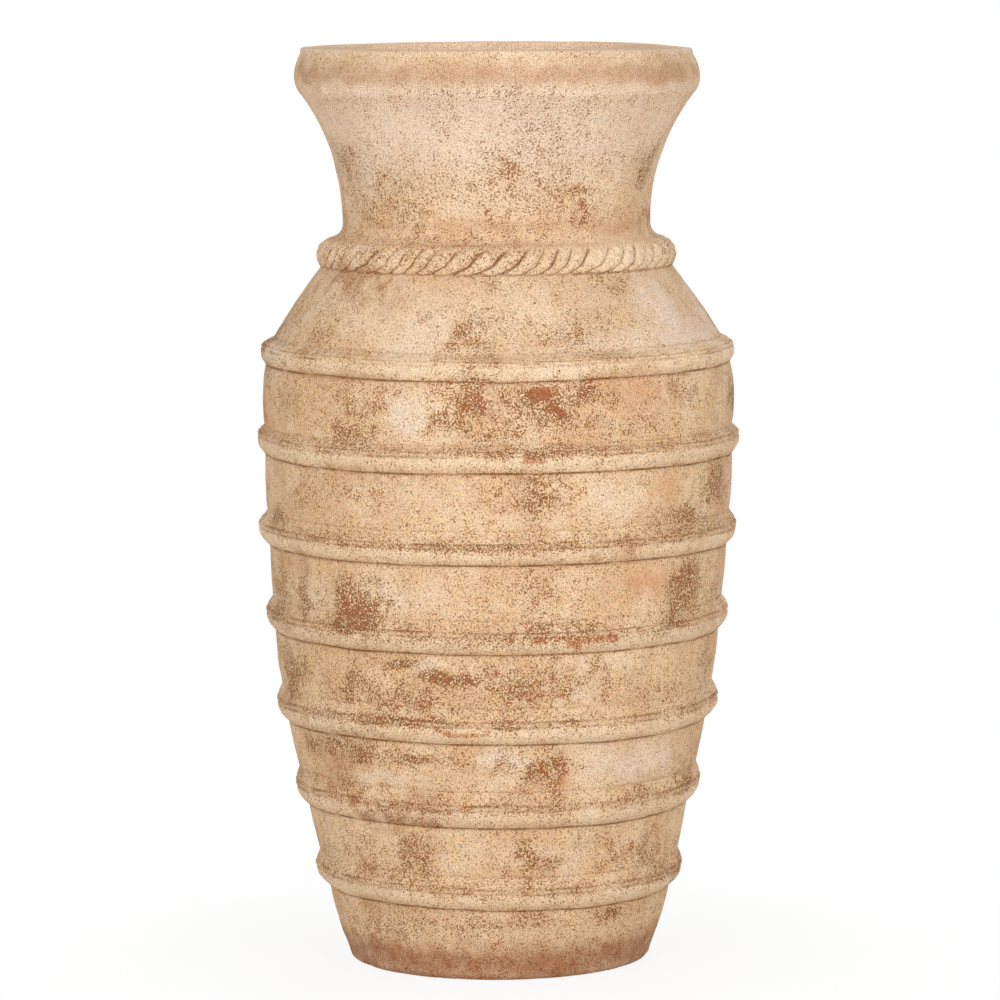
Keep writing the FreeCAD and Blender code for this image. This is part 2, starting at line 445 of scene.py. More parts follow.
low, high = ring_start["rim_coil"], ring_end["rim_coil"]
up = np.arange(low, high - rim_edge_round, rim_row)
up = np.append(up, high - rim_edge_round)
down = np.arange(high - mouth_edge_round, low, -rim_inner_row)
down = np.append(down, low)
outside, inside = outer_radius(turns, up), inner_radius(turns, down)
lip_side, mouth_side = outside[:, -1:], inside[:, :1]
lip_top = lip_side - rim_edge_round
mouth_top = mouth_side + mouth_edge_round
sine, cosine = corner_arc(4)
lip_arc = lip_top + rim_edge_round * cosine
mouth_arc = mouth_top - mouth_edge_round * sine
across = np.linspace(0, 1, 11)
flat_top = lip_top + (mouth_top - lip_top) * across
seam_radius, seam_height = seam_points(inside[:, -1:], outside[:, :1], low)
radius = np.hstack([outside, lip_arc, flat_top, mouth_arc, inside, seam_radius])
rows = [up, high - rim_edge_round * (1 - sine), np.full(across.shape, high)]
rows += [high - mouth_edge_round * (1 - cosine), down]
height = np.hstack([all_round(row) for row in rows] + [seam_height])
print(f"{radius.shape[1]} points round the rim's section")

# %% Chips and droop of the rim
# The lip is worn and chipped this far down from the top, and this far in from its edge.
lip_wear_reach = 3.0 * MM
lip_wear_width = 4.0 * MM
chips = waves(8, 30 * MM)
chip_start = 1.5
chip_depth = 1.0 * MM
top_waver = 0.12 * MM
lip_droop = 2.1 * MM
right_droop = 1.1 * MM

at_lip = radius > lip_top - lip_wear_width
edge = np.exp(-(((height - high) / lip_wear_reach) ** 2)) * at_lip
knocked = np.maximum(chips(turns, radius) - chip_start, 0) * edge
height = height - chip_depth * knocked
radius = radius - chip_depth * knocked
near_top = np.clip((height - low) / (high - low), 0, 1) ** 2
height = height + top_waver * palm_dents(turns, 0.0) * near_top
behind_front = np.where(np.cos(turns) > 0, np.sin(turns) ** 2, 1.0)
droop = (lip_droop + right_droop * np.sin(turns)) * behind_front
outward = np.clip((radius - mouth_top) / (lip_top - mouth_top), 0, 1)
height = height - droop * outward * near_top
print(f"the lip droops by up to {droop.max() / MM:.1f} mm")

# %% Wash on the rim
mouth_wash = 0.35
inner_wash = 60.0 * MM

washed = np.zeros(radius.shape)
top_end = len(up) + len(sine) + len(across)
mouth_end = top_end + len(sine)
washed[:, :top_end] = 1.0
washed[:, top_end:mouth_end] = mouth_wash
fading = np.clip(1 - (high - down) / inner_wash, 0, 1)
washed[:, mouth_end : mouth_end + len(down)] = mouth_wash * fading
# The crest mark paints a pale highlight along the lip's worn edge.
piece = make_piece("rim_coil", turns, radius, height, {"washed": washed, "crest": edge})
finish_shape(piece, "rim_coil")

# %% [markdown]
# ## The floor slab and its coil
#
# The floor is a beaten disc. Only its rounded edge shows, but the jar may be lifted, so the
# underside is there too: flat where it stands. Inside, the fingers that smoothed it left a
# spiral. The disc is the one piece whose outline begins and ends on the axis, so its grid is
# closed there by merging the points that fall together.

# %% Outline of the base slab
slab_low, slab_high = (corner.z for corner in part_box("base_slab"))
slab_top_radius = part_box("base_slab")[1].x
foot_edge_round = 8.0 * MM
spiral_depth = 0.5 * MM
spiral_share = 0.85

rows_up = np.linspace(slab_low + foot_edge_round, slab_high, 11)
slab_line = feel("base_slab", np.clip(rows_up, None, slab_high - ray_inset))
slab_side = slab_line + outside_relief(turns, rows_up)
sine, cosine = corner_arc(5)
rest_edge = slab_side[:, :1] - foot_edge_round
edge_arc = rest_edge + foot_edge_round * sine
spokes = np.linspace(0, 1, 30)
underside = rest_edge * spokes
wall_foot = inner_radius(turns, np.array([slab_high]))
key_radius, key_height = seam_points(slab_side[:, -1:], wall_foot, slab_high)
floor_inside = wall_foot * spokes[::-1]
radius = np.hstack([underside, edge_arc, slab_side, key_radius, floor_inside])
spiral = spiral_depth * np.cos(2 * math.pi * floor_inside / ridge_pitch + turns)
spiral = np.minimum(spiral * (spokes[::-1] < spiral_share), 0)
rows = [np.full(spokes.shape, slab_low), slab_low + foot_edge_round * (1 - cosine), rows_up]
height = [all_round(row) for row in rows]
height = np.hstack(height + [key_height, slab_high + spiral * spokes[::-1]])
print(f"the jar stands on a disc {2 * rest_edge.mean() / MM:.0f} mm across")

# %% Base slab with its knocked edge
foot_wear_reach = 9.0 * MM
foot_chip_start = 1.0
foot_chip_depth = 1.2 * MM
merge_distance = 0.01 * MM

foot_edge = np.exp(-(((height - slab_low) / foot_wear_reach) ** 2)) * (radius > rest_edge)
radius = radius - foot_chip_depth * np.maximum(chips(turns, height) - foot_chip_start, 0) * foot_edge
washed = np.zeros(radius.shape)
washed[:, len(spokes) : len(spokes) + len(sine) + len(rows_up)] = 1.0
base = make_piece("base_slab", turns, radius, height, {"washed": washed}, solid=True)

merge = bmesh.new()
merge.from_mesh(base.data)
bmesh.ops.remove_doubles(merge, verts=merge.verts, dist=merge_distance)
merge.to_mesh(base.data)
merge.free()
finish_shape(base, "base_slab")

# %% Coil in the corner of floor and wall
coil_low, coil_high = (corner.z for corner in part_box("floor_luting_coil"))
coil_size = 20.0 * MM
dent_count = 46
finger_press = 1.0 * MM
press_share = 0.6

climb = np.linspace(coil_high, coil_low, 6)
along_floor = np.linspace(0, 1, 6)[1:]
across = np.linspace(0, 1, 14)[1:-1]
wall_side = inner_radius(turns, climb)
wall_end, floor_end = wall_side[:, :1], wall_side[:, -1:] - coil_size
floor_side = wall_side[:, -1:] - coil_size * along_floor
press = finger_press * np.sin(math.pi * across) * (2 + np.cos(dent_count * turns))
face_radius = floor_end + (wall_end - floor_end) * across + press * press_share
face_height = coil_low + (coil_high - coil_low) * across - press * press_share
radius = np.hstack([face_radius, wall_side, floor_side])
height = np.hstack([face_height, all_round(climb), np.full(floor_side.shape, coil_low)])
coil = make_piece("floor_luting_coil", turns, radius, height, {})
coil.data.flip_normals()
finish_shape(coil, "floor_luting_coil")

# %% [markdown]
# ## The strips over the seams
#
# Each strip is a flat roll of clay, pressed on and wiped down with a wet finger. The wipes
# leave a crisp foot, a rounded crest, a crease where the strip meets the clay that was smeared
# up from it, and above the crease a soft slope that runs out on the wall. The strip is drawn
# once as distances up its face and shares of its height, and is laid along the wall's outline,
# square to it, so the topmost strip turns over the shoulder's edge as the real one does.

# %% The outline that the strips lie on
lay_step = 1.0 * MM
lay_heights = np.arange(wall_heights[0], ring_end["shoulder_section"], lay_step)
lay_radii = np.interp(lay_heights, wall_heights, wall_outside)
run = np.hypot(np.gradient(lay_radii), np.gradient(lay_heights))
lay_length = np.cumsum(run) - run[0]
soften_steps = 15
soften = np.ones(soften_steps) / soften_steps
rise = np.convolve(np.gradient(lay_heights), soften, mode="same")
spread = np.convolve(np.gradient(lay_radii), soften, mode="same")
facing_out = rise / np.hypot(rise, spread)
facing_up = -spread / np.hypot(rise, spread)
print(f"the outline is {lay_length[-1] / MM:.0f} mm long from floor to neck")

# %% The strip's section
# Distances are up the strip in mm. Below its foot a skirt of slip runs out on the wall, and a
# fine crease at 16 mm and a deeper one at 21 mm are where two wipes of the finger meet.
strip_body = 21.4 * MM
body_stretch = {
    "band_1": 1.13, "band_2": 1.17, "band_3": 1.12, "band_4": 1.05, "band_5": 1.0, "band_6": 1.0,
    "band_7": 0.84,
}
section_points = np.array([
    (-1.8, 0.02), (-1.0, 0.03), (-0.2, 0.04), (0.0, 0.15), (0.7, 0.24), (1.6, 0.33), (2.8, 0.45),
    (4.2, 0.58), (5.6, 0.71), (7.0, 0.82), (8.4, 0.90), (9.8, 0.96), (11.2, 0.99), (12.6, 1.0),
    (14.0, 1.0), (15.0, 0.98), (15.8, 0.92), (16.4, 0.87), (17.0, 0.93), (18.0, 1.01),
    (19.0, 1.0), (19.8, 0.97), (20.5, 0.91), (21.0, 0.82), (21.4, 0.74),
])
fillet_points = np.array([
    (0.06, 0.72), (0.12, 0.74), (0.2, 0.70), (0.3, 0.61), (0.4, 0.50), (0.5, 0.39), (0.6, 0.28),
    (0.7, 0.18), (0.8, 0.10), (0.9, 0.04), (1.0, 0.0),
])
body_reach, body_share = section_points[:, 0] * MM, section_points[:, 1]
fillet_reach, fillet_share = fillet_points.T
section = np.concatenate([body_share, fillet_share])
backing_steps = np.linspace(1, 0, 9)[1:-1]
seat_depth = 0.4 * MM


def line_at(place, width, power=2):
    """1 at a place up the strip, in mm, and falling off to either side of it."""
    return np.exp(-(np.abs((body_reach / MM - place) / width) ** power))


# The crest is painted pale from 6 to 14 mm up the strip, as wear and as a painted highlight.
# Painted shade and dirt lie along the foot and in the two creases.
crest_mark = np.interp(body_reach / MM, [2, 6, 14, 19], [0, 1, 1, 0])
foot_line = line_at(-0.2, 1.15, power=4)
crease_line = 0.55 * line_at(strip_body / MM, 1.3)
fine_crease_line = 0.42 * line_at(16.4, 1.0)
print(f"{len(section)} points across a strip, {strip_body / MM:.1f} mm from its foot to the crease")

# %% Laying a strip on the wall
def stands_off(node):
    """How far a CAD strip stands off the wall's outline at its crest."""
    mesh = frame["nodes"][node].data
    points = np.array([(vertex.co.to_2d().length, vertex.co.z) for vertex in mesh.vertices])
    gaps = np.hypot(points[:, :1] - lay_radii, points[:, 1:] - lay_heights)
    return gaps.min(axis=1).max()


def lay_on(length, lift):
    """Radius and height of points at lengths along the wall's outline, lifted square to it."""
    height = np.interp(length, lay_length, lay_heights)
    radius = outer_radius(turns, height)
    radius = radius + lift * np.interp(length, lay_length, facing_out)
    return radius, height + lift * np.interp(length, lay_length, facing_up)


print(f"band_1 stands {stands_off('band_1') / MM:.1f} mm off the wall")

# %% The seven strips
# What wanders on the way round a strip, each with its seed, its wavelength, its middle and how
# far it swings. The seeds are the first strip's, and each further strip adds 1 to them.
wanders = {
    "foot_shade_and_dirt": (30, 40 * MM, 0.8, 0.2),
    "dust": (34, 80 * MM, 0.8, 0.25),
    "fine_crease": (40, 80 * MM, 0.3, 0.5),
    "crease": (50, 60 * MM, 0.65, 0.35),
    "swell": (60, 90 * MM, 1.0, 0.07),
}
ripple_seed = 70
ripple_height = 0.16 * MM
largest_body_share = 0.86

# Dust lies on the slope above the crest. The topmost strip turns over the shoulder's edge, where
# rain washes most of it off.
dust_reach = np.array([12, 17, 24, 31]) * MM
dust_profile = [0, 1, 1, 0.2]
dust_shares = {"band_7": 0.25}


def wandering(kind, number):
    """How strong something is on the numbered strip, in every slice."""
    seed, wavelength, middle, swing = wanders[kind]
    return middle + swing * waves(seed + number, wavelength)(turns, 0.0)


def make_band(number, name):
    """One strip, drawn on the wall between its two edge lines."""
    low_line, high_line = band_edge[name]
    start = np.interp(low_line, lay_heights, lay_length)
    end = np.interp(high_line, lay_heights, lay_length)
    crease = np.minimum(strip_body * body_stretch[name], largest_body_share * (end - start))
    body_length = start + body_reach * crease / strip_body
    fillet_length = start + crease + (end - start - crease) * fillet_reach
    face_length = np.hstack([body_length, fillet_length])
    ripple = ripple_height * waves(ripple_seed + number, 20 * MM)(turns, face_length)
    lift = stands_off(name) * section * wandering("swell", number) + ripple * section
    face_radius, face_height = lay_on(face_length, lift)
    back_length = body_length[:, :1] + (end - body_length[:, :1]) * backing_steps
    back_radius, back_height = lay_on(back_length, -seat_depth)
    radius = np.hstack([face_radius, back_radius])
    height = np.hstack([face_height, back_height])
    # Painted shade and dirt along the foot and in the two creases.
    shade_and_dirt = foot_line * wandering("foot_shade_and_dirt", number)
    shade_and_dirt = shade_and_dirt + crease_line * wandering("crease", number)
    shade_and_dirt = shade_and_dirt + fine_crease_line * np.clip(wandering("fine_crease", number), 0, 1)
    painted_shade_and_dirt = np.zeros(radius.shape)
    painted_shade_and_dirt[:, : len(body_reach)] = shade_and_dirt
    # The crest is painted pale, as wear and as a painted highlight.
    crest = np.zeros(radius.shape)
    crest[:, : len(body_reach)] = crest_mark
    dusty = np.zeros(radius.shape)
    above = np.interp(face_length - start, dust_reach, dust_profile)
    share = dust_shares.get(name, 1.0)
    dusty[:, : len(section)] = above * wandering("dust", number) * share
    marks = {"washed": 1.0, "crest": crest, "painted_shade_and_dirt": np.clip(painted_shade_and_dirt, 0, 1), "dusty": dusty}
    piece = make_piece(name, turns, radius, height, marks)
    finish_shape(piece, name)


for number, name in enumerate(band_edge):
    make_band(number, name)

# %% [markdown]
# ## The twisted cordon
#
# Three thin rolls are twisted into a rope, pressed into the corner of shoulder and neck, and
# smeared up onto the neck with a thumb. Modelling three real strands would be wrong here,
# because the wet clay has run together: what shows is one coil with slanting grooves. So the
# coil's section is drawn once, and a wave that leans as it climbs cuts the grooves. It leans
# more near the foot of the coil, which bends each groove, and random depth and spacing keep it
# from looking machine made.

# %% Section of the cordon
strand_count = 57
cordon_slices = strand_count * 26
cordon_turns = np.linspace(-math.pi, math.pi, cordon_slices, endpoint=False)[:, None]
cordon_radius = 18.2 * MM
fillet_radius = 14.0 * MM
cordon_low, cordon_high = (corner.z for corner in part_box("rope_cordon"))
cordon_centre_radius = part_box("rope_cordon")[1].x - cordon_radius
neck_side = np.interp(cordon_high, wall_heights, wall_outside)
fillet_centre_radius = neck_side + fillet_radius
shoulder_side = np.interp(cordon_low, wall_heights, wall_outside)
fillet_out = fillet_centre_radius - cordon_centre_radius
fillet_up = math.sqrt((cordon_radius + fillet_radius) ** 2 - fillet_out**2)
cordon_centre_height = cordon_high - fillet_up
first_angle = math.atan2(cordon_low - cordon_centre_height, shoulder_side - cordon_centre_radius)
last_angle = math.atan2(fillet_up, fillet_out)
print(f"cordon shows from {math.degrees(first_angle):.0f} to {math.degrees(last_angle):.0f} degrees")

# %% Grooves that lean and bend as they climb
# A groove is a narrow cut in a wide hollow. It leans by its slant from the foot of the coil to
# its top, and leans more in the lowest part, its tail. It fades out at both ends.
groove_slant = 21.0 * MM
tail_slant = 35.0 * MM
tail_share = 0.28
groove_depth = 4.0 * MM
hollow_depth_share = 0.45
cut_depth_share = 0.55
depth_range = (0.7, 1.15)
pitch_waver = 0.20
foot_fade = 0.04
top_fade = 0.25
strand_pitch = 2 * math.pi * (cordon_centre_radius + cordon_radius) / strand_count


def groove_depths(turn, share):
    """How deep the surface lies under the coil's round, at shares of the way up the coil."""
    shift = groove_slant * (share - 0.5) - tail_slant * np.maximum(tail_share - share, 0)
    uneven = pitch_waver * waves(81, 130 * MM)(turn, 0.0)
    phase = strand_count * turn / (2 * math.pi) - shift / strand_pitch + uneven
    beside = np.abs(2 * (phase - np.floor(phase)) - 1)
    deep = np.random.default_rng(82).uniform(*depth_range, strand_count)
    nearest = np.round(phase).astype(int) % strand_count
    fade = np.clip(share / foot_fade + 0.3, 0, 1) * np.clip((1.0 - share) / top_fade, 0, 1)
    profile = hollow_depth_share * beside**2 + cut_depth_share * beside**9
    return groove_depth * deep[nearest] * profile * fade


# %% Rope cordon
sway_size = 0.5 * MM
lump_size = 0.35 * MM
coil_face = 40 * MM
cordon_seat_depth = 0.6 * MM

coil_shares = np.linspace(0, 1, 34)
fillet_shares = np.linspace(0, 1, 11)[1:]
angle = first_angle + (last_angle - first_angle) * coil_shares
cut = groove_depths(cordon_turns, coil_shares)
sway = sway_size * waves(83, 160 * MM)(cordon_turns, 0.0)
lumps = lump_size * waves(84, 11 * MM)(cordon_turns, coil_shares * coil_face)
coil_radius = cordon_radius - cut + (sway + lumps) * np.sin(math.pi * coil_shares)
coil_out = cordon_centre_radius + coil_radius * np.cos(angle)
coil_up = cordon_centre_height + coil_radius * np.sin(angle)
swing = last_angle * (1 - fillet_shares)
fillet_out_line = fillet_centre_radius - fillet_radius * np.cos(swing)
fillet_up_line = cordon_high - fillet_radius * np.sin(swing)
relief = outside_relief(cordon_turns, coil_up)
fillet_relief = outside_relief(cordon_turns, fillet_up_line)
seat_heights = np.linspace(cordon_high, cordon_low, 12)
seat = outer_radius(cordon_turns, seat_heights) - cordon_seat_depth
radius = np.hstack([coil_out + relief, fillet_out_line + fillet_relief, seat])
rows = [all_round(row, cordon_slices) for row in (fillet_up_line, seat_heights)]
height = np.hstack([coil_up] + rows)
print(f"the grooves are up to {cut.max() / MM:.1f} mm deep")

# %% Wear, painted highlight and painted shade on the cordon
# The strands are painted pale between the grooves, as wear and as a painted highlight, and
# painted shade lies deep in the grooves and along the foot of the coil.
pale_fall_off = 1.6
groove_shade_start = 0.45
groove_shade_rise = 1.25
most_groove_shade = 0.8
foot_rows = 3
cordon_foot_shade = 0.5

shown = len(coil_shares)
depth_share = cut / groove_depth
crest = np.zeros(radius.shape)
crest[:, :shown] = np.clip(1 - pale_fall_off * depth_share, 0, 1) * np.sin(math.pi * coil_shares)
painted_shade_and_dirt = np.zeros(radius.shape)
painted_shade_and_dirt[:, :shown] = np.clip(groove_shade_rise * depth_share - groove_shade_start, 0, most_groove_shade)
# Painted shade along the foot of the coil.
painted_shade_and_dirt[:, :foot_rows] = cordon_foot_shade
marks = {"washed": 1.0, "crest": crest, "painted_shade_and_dirt": painted_shade_and_dirt}
cordon = make_piece("rope_cordon", cordon_turns, radius, height, marks)
finish_shape(cordon, "rope_cordon")

# %% [markdown]
# ## Where the weather has been
#
# The jar wears a thin cream lime wash over brown clay. Years outdoors took the wash off in
# blotches, so the eye sees smooth pale places where the wash is sound, speckled places where
# it is worn to grains, and bare red-brown clay in the middle of the worst ones. There are also
# places rubbed to orange, and brown smears where dirty water ran. A noise texture alone would
# scatter these evenly. A table of places keeps the large blotches of the real front, and the
# noise of the material breaks up their edges. The back isn't known, so a seeded draw spreads
# blotches of the same kinds and sizes over it.

# %% Blotches of the front
# Each is a turn in degrees, a height in mm, half a width in degrees, half a height in mm, and
# a strength. Each kind runs from the rim down. The one at a turn of 180 is the far side of the
# rim, which shows over the mouth.
blotches = {
    "speckled": [
        (4, 860, 6, 8, 0.5), (-16, 857, 12, 12, 0.4), (-8, 850, 10, 12, 0.3), (0, 850, 50, 8, 0.3),
        (22, 842, 8, 20, 0.4), (-16, 840, 6, 22, 0.35), (15, 820, 14, 30, 0.5), (12, 800, 15, 18, 0.45),
        (44, 800, 9, 18, 0.45), (14, 792, 7, 12, 0.6), (-67, 790, 8, 20, 0.6), (25, 789, 7, 9, 0.5),
        (5, 786, 5, 9, 0.7), (67, 785, 7, 15, 0.7), (-4, 776, 6, 6, 0.6), (12, 775, 24, 50, 0.4),
        (-14, 772, 8, 5, 0.5), (22, 770, 6, 30, 0.5), (-11, 768, 5, 4, 0.5), (-45, 765, 22, 40, 0.4),
        (30, 764, 4, 6, 0.9), (34, 750, 2, 12, 0.8), (-57, 745, 5, 18, 0.4), (-33, 742, 8, 15, 0.6),
        (32, 736, 4, 6, 0.8), (-4, 706, 14, 20, 0.4), (80, 706, 8, 18, 0.4), (-50, 702, 24, 14, 0.35),
        (-25, 702, 10, 14, 0.25), (37, 678, 9, 12, 0.35), (-50, 676, 12, 18, 0.5), (0, 676, 8, 8, 0.5),
        (-32, 661, 6, 14, 0.2), (-8, 641, 6, 13, 0.7), (-75, 640, 8, 28, 0.3), (22, 633, 8, 20, 0.45),
        (-52, 630, 8, 28, 0.35), (-5, 622, 8, 13, 0.45), (20, 618, 6, 6, 0.3), (21, 578, 6, 12, 0.75),
        (36, 577, 8, 12, 0.3), (-6, 575, 5.5, 17, 0.95), (-38, 572, 7, 20, 0.4), (48, 572, 6, 14, 0.5),
        (11, 570, 7, 17, 1.05), (-60, 565, 9, 18, 0.3), (-30, 564, 6, 18, 0.45), (8, 554, 6, 9, 0.6),
        (-12, 549, 6, 12, 0.7), (3, 545, 10, 13, 0.45), (30, 545, 11, 10, 0.35), (-37, 536, 6, 12, 0.65),
        (9, 522, 13, 5, 0.5), (9, 491, 6.5, 10, 0.6), (-37, 484, 9, 11, 0.35), (-55, 480, 8, 14, 0.25),
        (67, 475, 8, 15, 0.7), (10, 474, 5, 16, 0.75), (52, 452, 8, 10, 0.65), (-70, 447, 5, 7, 0.8),
        (0, 431, 30, 5, 0.4), (30, 426, 5, 8, 0.5), (-33, 399, 7, 8, 0.6), (9, 386, 5, 22, 0.4),
        (54, 382, 6, 26, 1.0), (-70, 376, 8, 24, 0.6), (-57, 376, 3, 22, 0.9), (-38, 370, 8, 20, 1.0),
        (72, 370, 6, 18, 0.5), (17, 358, 6, 6, 0.5), (-37, 354, 10, 6, 0.8), (0, 340, 60, 5, 0.4),
        (-33, 324, 9, 12, 0.3), (-25, 317, 6, 6, 0.9), (13, 306, 6, 8, 0.5), (-12, 305, 8, 7, 1.0),
        (23, 303, 8, 16, 0.4), (70, 300, 7, 18, 0.4), (6, 298, 10, 19, 0.65), (-68, 297, 8, 22, 0.7),
        (-40, 291, 6, 16, 0.8), (-23, 285, 9, 14, 0.6), (50, 284, 9, 12, 0.25), (-33, 279, 6, 9, 0.6),
        (-30, 262, 20, 5, 0.5), (-41, 249, 7, 12, 0.4), (-39, 234, 7, 6, 0.6), (-50, 228, 10, 14, 1.0),
        (-24, 224, 7, 8, 0.9), (-9, 220, 6, 4, 0.4), (3, 213, 5, 4, 0.15), (11, 212, 7, 23, 0.85),
        (-51, 205, 8, 22, 0.3), (-50, 192, 10, 6, 0.6), (67, 191, 8, 10, 0.5), (-24, 184, 7, 8, 0.4),
        (44, 184, 4, 5, 0.7), (-30, 168, 12, 9, 0.7), (26, 138, 5, 16, 0.4), (-50, 130, 12, 11, 0.3),
        (36, 125, 6, 13, 0.5), (-26, 124, 7, 15, 0.65), (9, 123, 6, 19, 0.75), (52, 122, 7, 15, 0.6),
        (-70, 120, 8, 18, 0.3), (-42, 106, 9, 7, 0.6), (56, 96, 9, 9, 0.4), (42, 62, 4, 6, 0.9),
        (10, 60, 4, 9, 0.5), (-5, 56, 28, 8, 0.3), (-42, 50, 16, 9, 0.4),
    ],
    "bare": [
        (31, 765, 4, 4, 0.7), (34, 744, 3, 9, 0.6), (21, 582, 3, 5, 0.5), (-6, 577, 7, 10, 0.7),
        (11, 577, 4, 11, 1.2), (14, 563, 3, 5, 1.1), (7, 515, 3, 4, 1.0), (8, 426, 3, 3, 0.8),
        (54, 392, 4, 12, 0.6), (-38, 372, 6, 11, 0.65), (23, 342, 9, 4, 0.8), (18, 336, 3, 5, 0.9),
        (10, 290, 5, 15, 0.6), (-9, 252, 6, 4, 0.7), (-53, 227, 6, 7, 0.55), (11, 216, 5, 13, 0.55),
        (18, 207, 2, 11, 0.8), (-40, 178, 18, 3, 0.5), (-26, 126, 4, 11, 0.35), (-22, 30, 8, 7, 0.6),
        (30, 22, 6, 6, 0.5),
    ],
    "rubbed": [
        (-3, 882, 16, 5, 0.4), (60, 872, 14, 6, 0.3), (36, 576, 8, 10, 0.75), (45, 480, 4, 8, 0.9),
        (40, 393, 7, 12, 1.0), (19, 205, 2, 12, 0.7), (-30, 24, 10, 8, 0.5), (15, 18, 6, 5, 0.9),
    ],
    "sound_wash_and_painted_light": [
        (180, 893, 85, 10, 1.0), (-52, 862, 8, 6, 0.7), (0, 860, 85, 18, 0.8), (60, 850, 10, 12, 0.6),
        (0, 825, 85, 55, 0.95), (50, 818, 9, 34, 0.3), (-50, 780, 8, 20, 0.8), (10, 753, 14, 9, 0.6),
        (-8, 750, 9, 12, 0.6), (45, 706, 24, 16, 0.8), (5, 665, 80, 30, 0.35), (53, 650, 8, 34, 1.1),
        # The pale blotches at 73 degrees and 628 mm, 58 degrees and 620 mm, and -71 degrees and 609 mm
        # are painted light on the top strip at the sides of the jar.
        (0, 640, 6, 30, 0.2), (32, 628, 14, 16, 0.5), (73, 628, 12, 26, 1.0), (-22, 625, 7, 26, 0.7),
        (58, 620, 24, 14, 1.0), (-3, 617, 8, 5, 0.5), (12, 615, 8, 6, 0.6), (-71, 609, 11, 7, 0.9),
        (13, 599, 8, 9, 0.8), (-21, 563, 5, 22, 0.9), (-2, 533, 6, 8, 0.4), (68, 530, 6, 8, 0.4),
        (-10, 516, 8, 6, 0.6), (-20, 480, 13, 18, 0.4), (28, 471, 9, 18, 0.6), (19, 441, 5, 6, 0.6),
        (-17, 381, 9, 15, 0.6), (-28, 378, 5, 14, 0.6), (-52, 376, 4, 20, 0.6), (-16, 317, 5, 6, 0.8),
        (32, 313, 9, 10, 0.4), (19, 288, 4, 9, 0.6), (3, 226, 7, 8, 1.0), (41, 214, 17, 20, 0.85),
        (-30, 201, 11, 7, 0.7), (-2, 201, 5, 8, 0.4), (-10, 126, 8, 18, 0.25), (21, 126, 5, 18, 0.4),
        (0, 48, 50, 10, 0.5),
    ],
    "smeared": [
        (-70, 877, 11, 11, 1.1), (-5, 877, 19, 8, 0.7), (0, 877, 85, 12, 0.95), (17, 877, 12, 10, 1.2),
        (-35, 876, 16, 9, 1.0), (52, 876, 24, 11, 1.3), (-56, 872, 8, 14, 1.0), (62, 741, 11, 12, 0.5),
        (5, 732, 50, 6, 0.6), (-33, 731, 20, 7, 0.5), (60, 726, 9, 9, 0.8), (50, 724, 10, 9, 1.0),
        (-66, 687, 8, 10, 0.7), (-53, 681, 8, 5, 1.1), (-18, 681, 8, 9, 0.5), (-52, 679, 14, 18, 0.9),
        (0, 676, 8, 8, 0.4), (36, 597, 10, 7, 0.8), (-40, 592, 12, 4, 0.8), (-43, 591, 12, 5, 0.9),
        (-30, 564, 6, 18, 0.3), (44, 563, 6, 14, 0.7), (-62, 560, 9, 22, 0.3), (50, 560, 9, 18, 0.3),
        (-38, 504, 7, 10, 0.7), (-62, 470, 9, 20, 0.3), (30, 426, 6, 10, 0.9), (-62, 406, 11, 20, 0.9),
        (-62, 345, 8, 12, 0.7), (66, 345, 8, 12, 0.7), (-33, 324, 9, 12, 0.6), (50, 281, 9, 10, 0.3),
        (-41, 249, 7, 12, 0.6), (-53, 228, 8, 9, 0.5), (-51, 205, 9, 28, 1.0), (-50, 190, 11, 6, 0.7),
        (-24, 184, 7, 9, 0.8), (-30, 167, 12, 10, 0.9), (-34, 149, 9, 9, 0.7), (26, 138, 5, 14, 0.6),
        (-40, 105, 10, 7, 0.6), (44, 96, 12, 8, 0.6), (56, 96, 9, 9, 0.6), (-48, 69, 8, 16, 0.7),
    ],
}

# %% Blotches of the sides and the back
front_half_angle = 80
back_levels = np.arange(110, 850, 44)
places_on_a_level = 9
back_kinds = ["speckled", "speckled", "speckled", "bare", "sound_wash_and_painted_light", "rubbed"]
rng = np.random.default_rng(90)
for level in back_levels:
    for place in range(places_on_a_level):
        turn = rng.uniform(front_half_angle, 360 - front_half_angle)
        spot = (turn, level + rng.uniform(-16, 16), rng.uniform(4, 17), rng.uniform(6, 24))
        kind = rng.choice(back_kinds)
        blotches[kind].append((*spot, rng.uniform(0.3, 1.0)))
print({kind: len(spots) for kind, spots in blotches.items()})

# %% How a piece is marked with blotches
# A blotch's edge wanders by a share of its own size. One wider than the widest ragged one, in
# degrees to either side, wanders no further than that one does. A blotch whose middle lies
# further above or below a piece than the reach leaves that piece alone.
edge_wander = waves(91, 40 * MM)
height_wander = waves(92, 55 * MM)
fine_wander = waves(93, 16 * MM)
wander = 0.28
fine_share = 0.6
widest_ragged = 12
blotch_reach = 30
fall_off = 0.75
fall_off_power = 1.15


def turn_and_height(mesh):
    """Where each point of a mesh lies on the jar."""
    points = np.zeros(len(mesh.vertices) * 3, np.float32)
    mesh.vertices.foreach_get("co", points)
    x, y, height = points.reshape(-1, 3).astype(float).T
    return np.arctan2(x, -y), height


